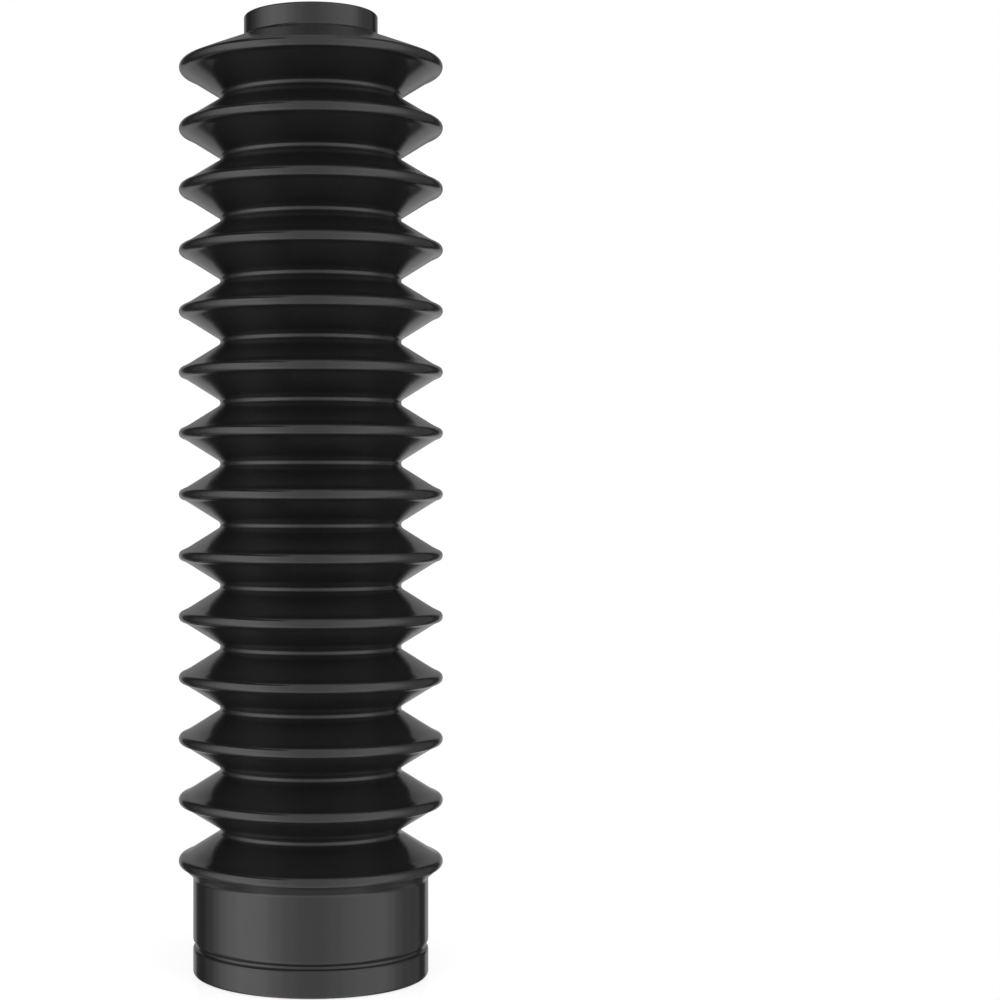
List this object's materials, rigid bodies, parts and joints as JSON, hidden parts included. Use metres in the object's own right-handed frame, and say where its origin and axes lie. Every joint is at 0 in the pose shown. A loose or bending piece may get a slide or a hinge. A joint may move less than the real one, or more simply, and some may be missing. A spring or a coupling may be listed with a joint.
{
  "type": "fork gaiter",
  "caption": "Rubber bellows gaiter for a motorbike fork, with even round folds between a wide cuff with a clamp groove and a narrow neck.",
  "frame": {"origin": "centre of the cuff's open end, on the gaiter's axis", "axes": "+Z along the gaiter's axis, from the wide cuff to the narrow neck"},
  "size_m": [0.0694, 0.0694, 0.251],
  "materials": {
    "rubber": "black moulded rubber with a smooth satin skin"
  },
  "bodies": {
    "root": {"gaiter": "rubber"}
  },
  "joints": []
}
